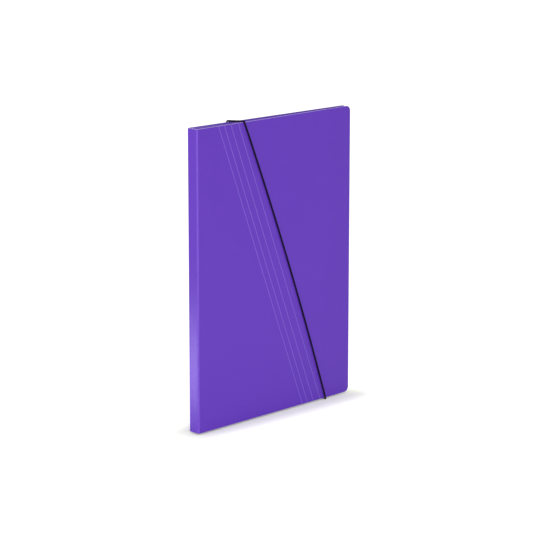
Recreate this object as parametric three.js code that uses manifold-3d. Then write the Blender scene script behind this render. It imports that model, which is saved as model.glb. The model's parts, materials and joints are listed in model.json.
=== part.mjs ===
// Three-flap document folder of creased, film-laminated board, closed by a diagonal elastic cord.
// Millimetres, +Z up. It stands on its bottom edges: spine on the left (-X), front cover facing -Y.
// While it is built, X starts at the spine's outer face, Y at the back cover's outer face and Z at
// the covers' bottom edge. The finished group is moved so that its box stands centred on the origin.

import * as THREE from "three";
import { mergeVertices } from "three/addons/utils/BufferGeometryUtils.js";
import Module from "manifold-3d";

const wasm = await Module();
wasm.setup();

// Covers and spine
const coverWidth = 235;
const coverHeight = 320;
const boardThickness = 1.2;
const spineDepth = 15;
const foreEdgeDepth = 7.2; // outside, where the elastic presses the covers together
const cornerRadius = 6;
const creaseSlit = 0.3; // clear width between two panels along their mitred crease
const creaseRounding = 0.8;

// Lines embossed in the front cover, parallel to the cord and between it and the spine. The
// spacings are measured along X, from the cord's straight line to the first line and so on.
const lineSpacings = [8, 11, 9.5, 8.4];
const lineWidth = 0.9;
const lineDepth = 0.25;

// Flaps
const flapThickness = 0.6;
const flapInset = 0.4; // from a cover's edge to the flap's first crease
const glueGap = 0.1;
const tabWidth = 20;
const wallSlack = 0.4; // what a flap's wall has beyond the depth that it spans at the spine
const wallBow = 0.5;
const panelClearance = 0.3; // between one layer and the next
const flapReach = 95; // from the cover's edge to the flap's free edge
const flapSlant = 15; // how far a flap's ends run in toward its free edge
const flapCornerRadius = 12;
const spineClearance = 4; // from the spine to the top and bottom flaps
const cornerOpening = 30; // from a cover's corner to the nearest end of a flap

// Elastic cord on the front cover's top and bottom edges
const cordDiameter = 1.7;
const cordClearance = 0.15;
const cordTop = 68; // from the spine
const cordBottomInset = 38.5; // from the fore-edge
const cordBow = 4;
const cordTopDrift = 10; // toward the spine, across the top of the folder
const cordBackDrift = 11; // further toward the spine, from the back's top edge to its eyelet

// Eyelets and the bars that hold the cord's ends
const eyeletFromEdge = 14;
const eyeletBore = 3;
const eyeletWall = 0.5;
const eyeletFlange = 6.8;
const flangeThickness = 0.4;
const rimThickness = 0.6;
const eyeletClearance = 0.15;
const barLength = 12;
const barDiameter = 1.5;
const sleeveDiameter = 2.4;
const sleeveLength = 2;

// Sizes that follow from those above
const wedge = Math.asin((spineDepth - foreEdgeDepth) / coverWidth);
const cordRadius = cordDiameter / 2;
const cordOffset = cordRadius + cordClearance;
const cordBottom = coverWidth - cordBottomInset;
const topEyelet = cordTop - cordTopDrift - cordBackDrift;
const bottomEyelet = cordBottom;
const tabFace = -(boardThickness + glueGap);
const tabInside = tabFace - flapThickness;
const holeRadius = eyeletBore / 2 + eyeletWall + eyeletClearance;
const frontFace = (x) => x * Math.tan(wedge) - spineDepth;
const panelFace = (x, layer) =>
  frontFace(x) + boardThickness / Math.cos(wedge) + panelClearance + layer * (flapThickness + panelClearance);
const wallWidth = tabFace - panelFace(0, 1) + wallSlack;
const leanOver = (rise) => Math.sqrt(wallWidth ** 2 - rise ** 2);

const purpleBoard = new THREE.MeshStandardMaterial({ color: "#6842bb", roughness: 0.42, metalness: 0 });
const purpleCard = new THREE.MeshStandardMaterial({ color: "#6a48b8", roughness: 0.5, metalness: 0 });
const blackElastic = new THREE.MeshStandardMaterial({ color: "#17131f", roughness: 0.85, metalness: 0 });
const nickel = new THREE.MeshStandardMaterial({ color: "#b9bcc2", roughness: 0.3, metalness: 1 });

// Solids

function signedVolume(positions, index) {
  const corner = (i) => new THREE.Vector3().fromArray(positions, 3 * index[i]);
  let sum = 0;
  for (let i = 0; i < index.length; i += 3) {
    sum += corner(i).dot(corner(i + 1).cross(corner(i + 2)));
  }
  return sum / 6;
}

function solid(geometry) {
  const bare = geometry.clone();
  bare.deleteAttribute("normal");
  bare.deleteAttribute("uv");
  const merged = mergeVertices(bare, 1e-4);
  const vertProperties = Float32Array.from(merged.attributes.position.array);
  const triVerts = Uint32Array.from(merged.index.array);
  if (signedVolume(vertProperties, triVerts) < 0) {
    for (let i = 0; i < triVerts.length; i += 3) {
      [triVerts[i + 1], triVerts[i + 2]] = [triVerts[i + 2], triVerts[i + 1]];
    }
  }
  return new wasm.Manifold(new wasm.Mesh({ numProp: 3, vertProperties, triVerts }));
}

function namedMesh(name, body, material) {
  const { vertProperties, triVerts } = body.getMesh();
  const geometry = new THREE.BufferGeometry();
  geometry.setAttribute("position", new THREE.BufferAttribute(vertProperties, 3));
  geometry.setIndex(new THREE.BufferAttribute(triVerts, 1));
  geometry.computeVertexNormals();
  const mesh = new THREE.Mesh(geometry, material);
  mesh.name = name;
  return mesh;
}

// A shape drawn in X and Z, made solid along Y between two faces
function prism(shape, frontY, backY) {
  const geometry = new THREE.ExtrudeGeometry(shape, {
    depth: backY - frontY,
    bevelEnabled: false,
    curveSegments: 8,
  });
  geometry.rotateX(Math.PI / 2);
  geometry.translate(0, backY, 0);
  return solid(geometry);
}

// A polygon whose given corners are rounded; each corner is [x, z, radius]
function roundedShape(corners) {
  const shape = new THREE.Shape();
  corners.forEach(([x, z, radius], i) => {
    const corner = new THREE.Vector2(x, z);
    const before = new THREE.Vector2(...corners.at(i - 1)).sub(corner).normalize();
    const after = new THREE.Vector2(...corners[(i + 1) % corners.length]).sub(corner).normalize();
    const reach = radius / Math.tan(before.angleTo(after) / 2);
    const start = before.multiplyScalar(reach).add(corner);
    const end = after.multiplyScalar(reach).add(corner);
    if (i === 0) shape.moveTo(start.x, start.y);
    else shape.lineTo(start.x, start.y);
    if (radius > 0) shape.quadraticCurveTo(x, z, end.x, end.y);
  });
  shape.closePath();
  return shape;
}

// Rings of as many points each, flat across X, skinned in order and capped
function loft(rings) {
  const count = rings[0].length;
  const positions = rings.flatMap((ring) => ring.flatMap((point) => point.toArray()));
  const index = [];
  for (let r = 0; r + 1 < rings.length; r += 1) {
    for (let i = 0; i < count; i += 1) {
      const [a, b] = [r * count + i, r * count + ((i + 1) % count)];
      index.push(a, b, b + count, a, b + count, a + count);
    }
  }
  const flat = rings[0].map((point) => new THREE.Vector2(point.y, point.z));
  const last = (rings.length - 1) * count;
  for (const [a, b, c] of THREE.ShapeUtils.triangulateShape(flat, [])) {
    const cap = THREE.ShapeUtils.isClockWise(flat) ? [a, b, c] : [c, b, a];
    index.push(...cap, ...cap.toReversed().map((i) => last + i));
  }
  const geometry = new THREE.BufferGeometry();
  geometry.setAttribute("position", new THREE.Float32BufferAttribute(positions, 3));
  geometry.setIndex(index);
  return geometry;
}

// The section of a bent sheet: one surface as a line, the other offset from it with mitred bends
function bentSection(line, thickness) {
  const normals = line.slice(1).map((point, i) => {
    const along = point.clone().sub(line[i]).normalize();
    return new THREE.Vector2(-along.y, along.x);
  });
  const offset = line.map((point, i) => {
    const before = normals[Math.max(i - 1, 0)];
    const after = normals[Math.min(i, normals.length - 1)];
    const mitre = before.clone().add(after).normalize();
    return mitre.multiplyScalar(thickness / mitre.dot(before)).add(point);
  });
  return [...line, ...offset.reverse()];
}

// Covers and spine

// A panel of board from its crease at X = 0, mitred there and, for the spine, at its far end too.
// Its outer face is at Y = 0 and its inner face on the given side of it.
function creasedPanel(width, side, bothEnds) {
  const slit = creaseSlit / 2 / Math.SQRT1_2;
  const slope = creaseRounding * Math.SQRT1_2;
  const shape = new THREE.Shape();
  shape.moveTo(slit + creaseRounding, 0);
  shape.quadraticCurveTo(slit, 0, slit + slope, side * slope);
  shape.lineTo(slit + boardThickness, side * boardThickness);
  if (bothEnds) {
    shape.lineTo(width - slit - boardThickness, side * boardThickness);
    shape.lineTo(width - slit - slope, side * slope);
    shape.quadraticCurveTo(width - slit, 0, width - slit - creaseRounding, 0);
  } else {
    shape.lineTo(width, side * boardThickness);
    shape.lineTo(width, 0);
  }
  shape.closePath();
  return solid(
    new THREE.ExtrudeGeometry(shape, { depth: coverHeight, bevelEnabled: false, curveSegments: 5 }),
  );
}

// A cover: a creased panel whose two fore-edge corners are rounded
function coverPanel(side) {
  const outline = roundedShape([
    [0, 0, 0],
    [coverWidth, 0, cornerRadius],
    [coverWidth, coverHeight, cornerRadius],
    [0, coverHeight, 0],
  ]);
  const spare = 2 * boardThickness;
  return creasedPanel(coverWidth, side, false).intersect(prism(outline, -spare, spare));
}

function eyeletHole(x, z) {
  const spare = 2 * (boardThickness + flapThickness);
  const hole = new THREE.CylinderGeometry(holeRadius, holeRadius, spare, 32);
  hole.translate(x, spare / 2 + tabInside - panelClearance, z);
  return solid(hole);
}

const topHole = eyeletHole(topEyelet, coverHeight - eyeletFromEdge);
const bottomHole = eyeletHole(bottomEyelet, eyeletFromEdge);

function backCover() {
  return coverPanel(-1).subtract(topHole).subtract(bottomHole);
}

// One embossed line: a shallow vee that crosses the whole cover aslant
function embossedLine(middle) {
  const vee = new THREE.Shape();
  vee.moveTo(-lineWidth / 2, 0);
  vee.lineTo(-lineWidth / 2, -lineDepth);
  vee.lineTo(lineWidth / 2, -lineDepth);
  vee.lineTo(lineWidth / 2, 0);
  vee.lineTo(0, lineDepth);
  vee.closePath();
  const travel = cordBottom - cordTop;
  const length = 2 * Math.hypot(coverHeight, travel);
  const groove = new THREE.ExtrudeGeometry(vee, { depth: length, bevelEnabled: false });
  groove.translate(0, 0, -length / 2);
  groove.rotateY(-Math.atan(travel / coverHeight));
  groove.translate(middle, 0, coverHeight / 2);
  return solid(groove);
}

function frontCover() {
  let cover = coverPanel(1);
  let middle = (cordTop + cordBottom) / 2;
  for (const spacing of lineSpacings) {
    middle -= spacing;
    cover = cover.subtract(embossedLine(middle));
  }
  return cover;
}

// Flaps

// The outside of a flap's bent sheet, as points (across, depth): tab, bowed wall, panel.
// `across` is measured inward from the cover's edge and `faceAt` gives the panel's depth there.
function flapLine(lean, faceAt) {
  const base = new THREE.Vector2(flapInset, tabFace);
  const crest = new THREE.Vector2(flapInset + lean, faceAt(flapInset + lean));
  const outward = crest.clone().sub(base).normalize();
  const control = base.clone().add(crest).multiplyScalar(0.5);
  control.add(new THREE.Vector2(outward.y, -outward.x).multiplyScalar(2 * wallBow));
  const wall = new THREE.QuadraticBezierCurve(base, control, crest).getPoints(5);
  return [
    new THREE.Vector2(flapInset + tabWidth, tabFace),
    ...wall,
    new THREE.Vector2(flapReach, faceAt(flapReach)),
  ];
}

// A flap's outline, as (along the edge, inward from the edge)
function flapOutline(start, end, place) {
  const crease = flapInset + wallWidth;
  const corners = [
    [start, -1, 0],
    [end, -1, 0],
    [end, crease, 0],
    [end - flapSlant, flapReach, flapCornerRadius],
    [start + flapSlant, flapReach, flapCornerRadius],
    [start, crease, 0],
  ];
  return prism(roundedShape(corners.map(([a, b, radius]) => [...place(a, b), radius])), -spineDepth, 0);
}

// The top flap. Its wall leans further in as the folder narrows toward the fore-edge.
function topFlap() {
  const start = boardThickness + spineClearance;
  const end = coverWidth - cornerOpening;
  const leans = [start, end].map((x) => leanOver(tabFace - panelFace(x, 1)));
  const stations = 10;
  const rings = Array.from({ length: stations + 1 }, (_, i) => {
    const x = THREE.MathUtils.lerp(start, end, i / stations);
    const lean = THREE.MathUtils.lerp(...leans, i / stations);
    const section = bentSection(flapLine(lean, () => panelFace(x, 1)), flapThickness);
    return section.map(({ x: across, y: depth }) => new THREE.Vector3(x, depth, coverHeight - across));
  });
  const outline = flapOutline(start, end, (along, inward) => [along, coverHeight - inward]);
  return solid(loft(rings)).intersect(outline);
}

// The bottom flap is the top flap mirrored, with the bottom eyelet's hole instead of the top one
function mirrored(body) {
  const mesh = namedMesh("", body);
  mesh.geometry.scale(1, 1, -1);
  mesh.geometry.translate(0, 0, coverHeight);
  return solid(mesh.geometry);
}

// The fore-edge flap folds in last, so its panel lies over the other two
function foreEdgeFlap() {
  const rise = tabFace - panelFace(coverWidth - flapInset - wallWidth, 0);
  const line = flapLine(leanOver(rise), (across) => panelFace(coverWidth - across, 0));
  const section = bentSection(line, flapThickness);
  const shape = new THREE.Shape(section.map(({ x, y }) => new THREE.Vector2(coverWidth - x, y)));
  const [start, end] = [cornerOpening, coverHeight - cornerOpening];
  const sheet = new THREE.ExtrudeGeometry(shape, { depth: coverHeight, bevelEnabled: false });
  const outline = flapOutline(start, end, (along, inward) => [coverWidth - inward, along]);
  return solid(sheet).intersect(outline);
}

// Eyelets and bars

// A tubular eyelet along Y: flange outside the back cover, barrel, and a rolled rim inside
function eyelet(x, z) {
  const bore = eyeletBore / 2;
  const barrel = bore + eyeletWall;
  const flange = eyeletFlange / 2;
  const seat = glueGap;
  const outside = seat + flangeThickness;
  const rimStart = tabInside - seat;
  const rimEnd = rimStart - rimThickness;
  const roll = Array.from({ length: 7 }, (_, i) => {
    const angle = (Math.PI * i) / 6;
    const middle = (bore + flange) / 2;
    return [middle + ((flange - bore) / 2) * Math.cos(angle), rimStart - rimThickness * Math.sin(angle)];
  });
  const profile = [
    [bore, rimEnd + rimThickness],
    [bore, outside - flangeThickness / 2],
    [bore + flangeThickness / 2, outside],
    [flange - flangeThickness / 2, outside],
    [flange, outside - flangeThickness / 2],
    [flange, seat],
    [barrel, seat],
    [barrel, rimStart],
    ...roll,
  ];
  const turned = new THREE.LatheGeometry(profile.map(([r, y]) => new THREE.Vector2(r, y)), 32);
  turned.translate(x, 0, z);
  return solid(turned);
}

const barFace = tabInside - glueGap - rimThickness - cordClearance;
const barAxis = barFace - barDiameter / 2;

// The metal end of the cord: a sleeve crimped on it inside the eyelet, and a bar across the rim
function endBar(x, z) {
  const bar = new THREE.CapsuleGeometry(barDiameter / 2, barLength - barDiameter, 4, 12);
  bar.rotateZ(Math.PI / 2);
  bar.translate(x, barAxis, z);
  const sleeve = new THREE.CylinderGeometry(sleeveDiameter / 2, sleeveDiameter / 2, sleeveLength, 20);
  sleeve.translate(x, barAxis + sleeveLength / 2, z);
  return solid(bar).add(solid(sleeve));
}

// Elastic cord

// A line through points with a rounded bend at each inner one. Each piece takes a share of the
// parameter in proportion to its steps, so that bends get short steps and straight runs long ones.
class CordRoute extends THREE.Curve {
  constructor(points, bendRadius, bow) {
    super();
    this.pieces = [];
    this.steps = 0;
    let from = points[0];
    for (let i = 1; i + 1 < points.length; i += 1) {
      const into = points[i].clone().sub(points[i - 1]).normalize();
      const out = points[i + 1].clone().sub(points[i]).normalize();
      const turn = into.angleTo(out);
      const reach = bendRadius * Math.tan(turn / 2);
      const handle = reach - (4 / 3) * Math.tan(turn / 4) * bendRadius;
      const start = points[i].clone().addScaledVector(into, -reach);
      const end = points[i].clone().addScaledVector(out, reach);
      this.addRun(from, start, bow);
      const first = points[i].clone().addScaledVector(into, -handle);
      const second = points[i].clone().addScaledVector(out, handle);
      this.addPiece(new THREE.CubicBezierCurve3(start, first, second, end), 5);
      from = end;
    }
    this.addRun(from, points.at(-1), bow);
  }

  // A straight run, or for one longer than half the cover a run bowed toward the fore-edge
  addRun(from, to, bow) {
    if (from.distanceTo(to) < coverHeight / 2) {
      this.addPiece(new THREE.LineCurve3(from, to), 1);
      return;
    }
    const middle = from.clone().add(to).multiplyScalar(0.5);
    middle.add(new THREE.Vector3(2 * bow, 2 * bow * Math.tan(wedge), 0));
    this.addPiece(new THREE.QuadraticBezierCurve3(from, middle, to), 16);
  }

  addPiece(curve, steps) {
    this.pieces.push({ curve, steps, before: this.steps });
    this.steps += steps;
  }

  getPoint(t) {
    const step = t * this.steps;
    const piece = this.pieces.findLast(({ before }) => before <= step) ?? this.pieces[0];
    return piece.curve.getPoint(Math.min((step - piece.before) / piece.steps, 1));
  }

  getPointAt(u) {
    return this.getPoint(u);
  }

  getTangentAt(u) {
    return this.getTangent(u);
  }
}

// From the top eyelet over the top edges, down the front, under the bottom edges to the bottom eyelet
function elasticCord() {
  const cordEnd = barAxis + sleeveLength + cordClearance;
  const overFlange = glueGap + flangeThickness + cordOffset;
  const above = coverHeight + cordOffset;
  const topZ = coverHeight - eyeletFromEdge;
  const frontPath = (x) => frontFace(x) - cordOffset / Math.cos(wedge);
  const points = [
    [topEyelet, cordEnd, topZ],
    [topEyelet, overFlange, topZ],
    [cordTop - cordTopDrift, cordOffset, above],
    [cordTop, frontPath(cordTop), above],
    [cordBottom, frontPath(cordBottom), -cordOffset],
    [cordBottom, cordOffset, -cordOffset],
    [bottomEyelet, overFlange, eyeletFromEdge],
    [bottomEyelet, cordEnd, eyeletFromEdge],
  ].map((point) => new THREE.Vector3(...point));
  const route = new CordRoute(points, cordOffset, cordBow);
  const sides = 8;
  const section = Array.from({ length: sides }, (_, i) => {
    const angle = (2 * Math.PI * i) / sides;
    return new THREE.Vector2(cordRadius * Math.cos(angle), cordRadius * Math.sin(angle));
  });
  return solid(
    new THREE.ExtrudeGeometry(new THREE.Shape(section), { steps: route.steps, extrudePath: route }),
  );
}

// The folder, assembled

const folder = new THREE.Group();

const spine = namedMesh("spine", creasedPanel(spineDepth, 1, true), purpleBoard);
spine.rotation.z = -Math.PI / 2;

const front = namedMesh("front_cover", frontCover(), purpleBoard);
front.position.y = -spineDepth;
front.rotation.z = wedge;

const top = topFlap();
folder.add(
  namedMesh("back_cover", backCover(), purpleBoard),
  spine,
  front,
  namedMesh("flap_top", top.subtract(topHole), purpleCard),
  namedMesh("flap_bottom", mirrored(top).subtract(bottomHole), purpleCard),
  namedMesh("flap_fore_edge", foreEdgeFlap(), purpleCard),
  namedMesh("elastic_cord", elasticCord(), blackElastic),
  namedMesh("eyelet_top", eyelet(topEyelet, coverHeight - eyeletFromEdge), nickel),
  namedMesh("eyelet_bottom", eyelet(bottomEyelet, eyeletFromEdge), nickel),
  namedMesh("end_bar_top", endBar(topEyelet, coverHeight - eyeletFromEdge), nickel),
  namedMesh("end_bar_bottom", endBar(bottomEyelet, eyeletFromEdge), nickel),
);

const box = new THREE.Box3().setFromObject(folder, true);
const middle = box.getCenter(new THREE.Vector3());
folder.position.set(-middle.x, -middle.y, -box.min.z);

export default folder;
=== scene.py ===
"""Dresses a standing three-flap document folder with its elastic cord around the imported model.

Everything is in metres, +Z up, in the model's own frame: the spine is at -X and the front cover
faces -Y. Sizes given in millimetres are multiplied by MM.
"""

import json
import logging
import math
from collections.abc import Callable, Iterator
from contextlib import contextmanager
from dataclasses import dataclass
from enum import Enum, IntEnum
from itertools import accumulate

import bmesh
import bpy
from bmesh.types import BMEdge
from bpy.types import Material, Node, NodeSocket, NodeTree, Object
from mathutils import Matrix, Quaternion, Vector


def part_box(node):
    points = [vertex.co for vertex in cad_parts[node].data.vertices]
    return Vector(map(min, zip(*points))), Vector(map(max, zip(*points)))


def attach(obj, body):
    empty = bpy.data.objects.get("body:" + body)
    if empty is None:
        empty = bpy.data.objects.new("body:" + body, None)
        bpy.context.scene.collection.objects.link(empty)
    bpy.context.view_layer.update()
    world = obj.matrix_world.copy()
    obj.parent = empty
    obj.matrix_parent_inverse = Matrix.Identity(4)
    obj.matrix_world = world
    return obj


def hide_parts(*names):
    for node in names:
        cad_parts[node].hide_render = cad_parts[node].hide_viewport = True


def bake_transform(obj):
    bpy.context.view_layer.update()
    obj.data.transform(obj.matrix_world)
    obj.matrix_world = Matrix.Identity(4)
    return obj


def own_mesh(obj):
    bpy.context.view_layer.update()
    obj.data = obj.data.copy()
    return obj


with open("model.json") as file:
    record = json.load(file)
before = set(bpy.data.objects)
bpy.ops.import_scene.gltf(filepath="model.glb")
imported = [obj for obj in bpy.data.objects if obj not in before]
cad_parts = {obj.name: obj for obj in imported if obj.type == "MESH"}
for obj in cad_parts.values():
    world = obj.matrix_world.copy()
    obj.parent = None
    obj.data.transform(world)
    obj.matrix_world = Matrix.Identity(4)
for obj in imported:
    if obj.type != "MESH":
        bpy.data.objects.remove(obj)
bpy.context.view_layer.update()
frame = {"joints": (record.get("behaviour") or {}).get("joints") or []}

MM = 0.001
TINY = 1e-6
NEAR = 0.01 * MM
WHITE = "#FFFFFF"
LOG = logging.getLogger("folder")


class Slot(IntEnum):
    """Material slots of a piece of board or card, in order."""

    FILM = 0
    CORE = 1
    LINER = 2
    # Paler film on outer rims: partly wear, partly a painted highlight
    WORN = 3
    LINE = 4


class Smooth(IntEnum):
    """The largest angle in degrees at which a material's faces shade smooth."""

    CARD = 35
    METAL = 36
    BOARD = 40
    CORD = 60


class Part(Enum):
    """What an edit-mode selection picks."""

    VERTEX = "VERT"
    EDGE = "EDGE"
    FACE = "FACE"


# Where the folder is


@dataclass(frozen=True)
class FolderFrame:
    """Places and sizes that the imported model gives, in metres.

    The corners are the outer corners of the two creases, at the covers' bottom edge.
    """

    back_corner: Vector
    front_corner: Vector
    width: float
    height: float
    board: float
    lean: float

    @classmethod
    def read(cls) -> "FolderFrame":
        """Works the places out from the joints and from the boxes of the nodes.

        Returns:
            The folder's places and sizes.
        """
        hinges = {joint["name"]: Vector(joint["pos_m"]) for joint in frame["joints"]}
        low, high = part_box("back_cover")
        spine_low, spine_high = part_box("spine")
        board = spine_high.x - spine_low.x
        back = hinges["spine_crease"]
        front = hinges["front_crease"]
        width = high.x - back.x
        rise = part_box("front_cover")[1].y - board - front.y
        return cls(
            back_corner=Vector((back.x, back.y, low.z)),
            front_corner=Vector((front.x, front.y, low.z)),
            width=width,
            height=high.z - low.z,
            board=board,
            lean=math.asin(rise / width),
        )

    @property
    def depth(self) -> float:
        """Outer depth of the spine."""
        return self.back_corner.y - self.front_corner.y

    def at(self, x: float, y: float, z: float) -> Vector:
        """A place given in millimetres from the back cover's outer corner."""
        return self.back_corner + Vector((x, y, z)) * MM


# Tools of the workshop


def select_only(piece: Object) -> None:
    """Selects one object and makes it the active one.

    Args:
        piece: The object to work on.
    """
    bpy.ops.object.select_all(action="DESELECT")
    piece.select_set(True)
    bpy.context.view_layer.objects.active = piece


@contextmanager
def editing(piece: Object) -> Iterator[None]:
    """Opens a piece in edit mode with nothing selected, and closes it again.

    Args:
        piece: The object to edit.
    """
    select_only(piece)
    bpy.ops.object.mode_set(mode="EDIT")
    bpy.ops.mesh.select_all(action="DESELECT")
    try:
        yield
    finally:
        bpy.ops.object.mode_set(mode="OBJECT")


def pick(piece: Object, part: Part, test: Callable[..., bool]) -> int:
    """Selects, in edit mode, what passes a test, and nothing else.

    Args:
        piece: The object that is open in edit mode.
        part: Whether vertices, edges or faces are tested.
        test: Takes the mesh element and says whether to select it.

    Returns:
        How many elements are selected.
    """
    bpy.ops.mesh.select_mode(type=part.value)
    bpy.ops.mesh.select_all(action="DESELECT")
    mesh = bmesh.from_edit_mesh(piece.data)
    groups = {Part.VERTEX: mesh.verts, Part.EDGE: mesh.edges, Part.FACE: mesh.faces}
    chosen = [element for element in groups[part] if test(element)]
    for element in chosen:
        element.select_set(True)
    mesh.select_flush_mode()
    bmesh.update_edit_mesh(piece.data)
    return len(chosen)


def vertical_plane(name: str, start: float, end: float, height: float, facing: int) -> Object:
    """Adds a plane that stands on Z = 0 along X at Y = 0.

    Args:
        name: The new object's name.
        start: Its first X.
        end: Its last X.
        height: Its height.
        facing: 1 if it faces +Y, -1 if it faces -Y.

    Returns:
        The plane, with its turn and scale applied.
    """
    bpy.ops.object.select_all(action="DESELECT")
    bpy.ops.mesh.primitive_plane_add(
        size=1,
        location=((start + end) / 2, 0, height / 2),
        rotation=(-facing * math.pi / 2, 0, 0),
    )
    plane = bpy.context.object
    plane.name = name
    plane.data.name = name
    plane.scale = (end - start, height, 1)
    bpy.ops.object.transform_apply(location=True, rotation=True, scale=True)
    return plane


def put(piece: Object, place: Matrix) -> None:
    """Moves a piece to its place and keeps that place in its mesh.

    Args:
        piece: A piece made round the origin.
        place: Its place in the shared frame.
    """
    select_only(piece)
    piece.matrix_world = place
    bpy.ops.object.transform_apply(location=True, rotation=True, scale=True)


def finish_with(piece: Object, kind: str, **settings: object) -> None:
    """Adds a modifier and applies it.

    Args:
        piece: The piece to change.
        kind: The modifier's type.
        settings: Its properties.
    """
    select_only(piece)
    modifier = piece.modifiers.new(kind.title(), kind)
    for key, value in settings.items():
        setattr(modifier, key, value)
    bpy.ops.object.modifier_apply(modifier=modifier.name)


def thicken(piece: Object, thickness: float) -> None:
    """Gives a surface its thickness behind its face, with core on the rim and liner behind."""
    slots = {"material_offset": Slot.LINER, "material_offset_rim": Slot.CORE}
    finish_with(piece, "SOLIDIFY", thickness=thickness, offset=-1, use_even_offset=True, **slots)


def smooth(piece: Object, angle: Smooth) -> None:
    """Shades a piece smooth where its faces meet at less than an angle.

    Args:
        piece: The piece.
        angle: The angle that suits its material.
    """
    select_only(piece)
    bpy.ops.object.shade_smooth_by_angle(angle=math.radians(angle))
    finish_with(piece, "WEIGHTED_NORMAL", keep_sharp=True)


def dress(piece: Object, *materials: Material) -> None:
    """Puts materials in a piece's slots, in order.

    Args:
        piece: The piece.
        materials: One material for each slot.
    """
    piece.data.materials.clear()
    for material in materials:
        piece.data.materials.append(material)


def rim_slots(edge: BMEdge) -> set[int]:
    """The material slots of the faces on both sides of an edge."""
    return {face.material_index for face in edge.link_faces}


def soften_rim(piece: Object, width: float, keep: Callable[[BMEdge], bool]) -> None:
    """Rounds a sheet's cut edges, with paler film on the outer ones: partly worn film, partly a painted
    highlight on the rounded rim.

    Args:
        piece: A sheet that has its thickness.
        width: Width of the rounding.
        keep: Says which edges stay sharp, because another piece joins on there.
    """
    with editing(piece):
        for beside, rounded in (((Slot.FILM, Slot.LINE), Slot.WORN), ((Slot.LINER,), Slot.LINER)):
            pairs = [{slot, Slot.CORE} for slot in beside]
            pick(piece, Part.EDGE, lambda edge: rim_slots(edge) in pairs and not keep(edge))
            bpy.ops.mesh.bevel(
                offset=width, segments=3, profile=0.5, affect="EDGES", material=int(rounded)
            )


def arc_point(start: Vector, control: Vector, end: Vector, share: float, weight: float = 1.0) -> Vector:
    """A point on a curve; a weight of 1 gives a parabola, and half the turn's cosine an arc."""
    parts = ((1 - share) ** 2, 2 * share * (1 - share) * weight, share**2)
    return (start * parts[0] + control * parts[1] + end * parts[2]) / sum(parts)


def even_steps(end: float, count: int) -> list[float]:
    """Values from 0 to an end, with so many equal steps between them."""
    return [end * i / count for i in range(count + 1)]


# Finishes


def linear(colour: str) -> tuple[float, float, float, float]:
    """Turns an sRGB hex colour into the linear red, green, blue and alpha that a shader takes."""
    parts = [int(colour[i : i + 2], 16) / 255 for i in (1, 3, 5)]
    return (*(p / 12.92 if p <= 0.04045 else ((p + 0.055) / 1.055) ** 2.4 for p in parts), 1.0)


def per_metre(millimetres: float) -> float:
    """The texture scale at which a pattern repeats about once in so many millimetres."""
    return 1 / (millimetres * MM)


# A Mix node's colour sockets go by number, because its other kinds of socket have the same names
FIRST_COLOUR = 6
SECOND_COLOUR = 7
MIXED_COLOUR = 2


def add(tree: NodeTree, kind: str, inputs: dict | None = None, **settings: object) -> Node:
    """Adds a node, sets its properties, and fills or links its inputs.

    Args:
        tree: The material's node tree.
        kind: The node's type.
        inputs: A value or an output socket for each named or numbered input.
        settings: Properties of the node.

    Returns:
        The new node.
    """
    made = tree.nodes.new(kind)
    for key, value in settings.items():
        setattr(made, key, value)
    for key, value in (inputs or {}).items():
        if isinstance(value, NodeSocket):
            tree.links.new(value, made.inputs[key])
        else:
            made.inputs[key].default_value = value
    return made


def new_material(name: str) -> tuple[Material, NodeTree]:
    """Starts a material with an empty node tree.

    Args:
        name: The material's name.

    Returns:
        The material and its tree.
    """
    material = bpy.data.materials.new(name)
    material.use_nodes = True
    material.node_tree.nodes.clear()
    return material, material.node_tree


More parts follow.
